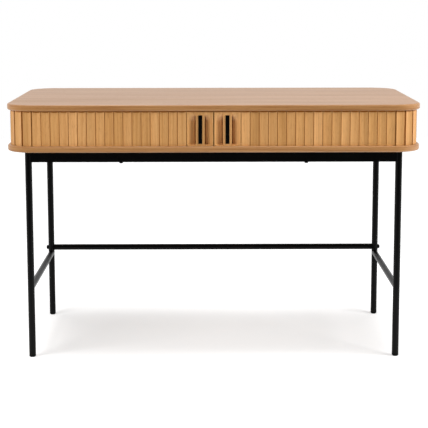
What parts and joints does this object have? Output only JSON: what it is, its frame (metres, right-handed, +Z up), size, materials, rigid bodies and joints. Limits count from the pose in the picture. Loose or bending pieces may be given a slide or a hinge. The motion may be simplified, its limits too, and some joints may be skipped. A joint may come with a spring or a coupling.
{
  "type": "writing desk",
  "caption": "Writing desk: shallow oak cabinet with rounded corners and sliding tambour doors, on a slim black round-tube frame with rear and side stretchers.",
  "frame": {"origin": "on the floor under the middle of the desk", "axes": "+X to the sitter's right, +Y to the back, +Z up"},
  "size_m": [1.2, 0.6, 0.757],
  "materials": {
    "oak_veneer": "matt lacquered oak veneer",
    "oak_slat": "matt lacquered oak",
    "oak_lining": "matt lacquered oak veneer",
    "oak_plywood": "matt lacquered oak-faced plywood",
    "beech": "bare beech",
    "canvas": "glued cotton canvas",
    "pull_black": "satin black",
    "black_steel": "fine matt black powder coat",
    "glide_plastic": "moulded black polyethylene",
    "black_fastener": "black oxide",
    "zinc_fastener": "bright zinc plate"
  },
  "bodies": {
    "desk": {"back_panel": "oak_plywood", "bottom_panel": "oak_veneer", "carcass_dowels": "beech", "centre_partition": "oak_lining", "frame_screws": "black_fastener", "front_rail": "black_steel", "inner_back_wall": "oak_lining", "left_door_stop": "beech", "left_front_canvas": "canvas", "left_front_glide": "glide_plastic", "left_front_leg": "black_steel", "left_front_slats": "oak_slat", "left_inner_wall": "oak_lining", "left_rear_corner_shell": "oak_plywood", "left_rear_glide": "glide_plastic", "left_rear_leg": "black_steel", "left_saddle_washer": "black_fastener", "left_side_canvas": "canvas", "left_side_rail": "black_steel", "left_side_slats": "oak_slat", "left_side_stretcher": "black_steel", "left_stretcher_bolt": "black_fastener", "left_stretcher_plug": "zinc_fastener", "rear_rail": "black_steel", "rear_stretcher": "black_steel", "right_door_stop": "beech", "right_front_canvas": "canvas", "right_front_glide": "glide_plastic", "right_front_leg": "black_steel", "right_front_slats": "oak_slat", "right_inner_wall": "oak_lining", "right_rear_corner_shell": "oak_plywood", "right_rear_glide": "glide_plastic", "right_rear_leg": "black_steel", "right_saddle_washer": "black_fastener", "right_side_canvas": "canvas", "right_side_rail": "black_steel", "right_side_slats": "oak_slat", "right_side_stretcher": "black_steel", "right_stretcher_bolt": "black_fastener", "right_stretcher_plug": "zinc_fastener", "stop_screws": "zinc_fastener", "top_panel": "oak_veneer"},
    "left_door": {"left_lead_stile": "oak_slat", "left_pull_inlay": "pull_black"},
    "right_door": {"right_lead_stile": "oak_slat", "right_pull_inlay": "pull_black"}
  },
  "joints": [
    {"name": "left_door_slide", "type": "slide", "parent": "desk", "child": "left_door", "axis": [-1, 0, 0], "range_m": [0, 0.416], "deforming": ["left_front_slats", "left_front_canvas"]},
    {"name": "right_door_slide", "type": "slide", "parent": "desk", "child": "right_door", "axis": [1, 0, 0], "range_m": [0, 0.416], "deforming": ["right_front_slats", "right_front_canvas"]}
  ]
}
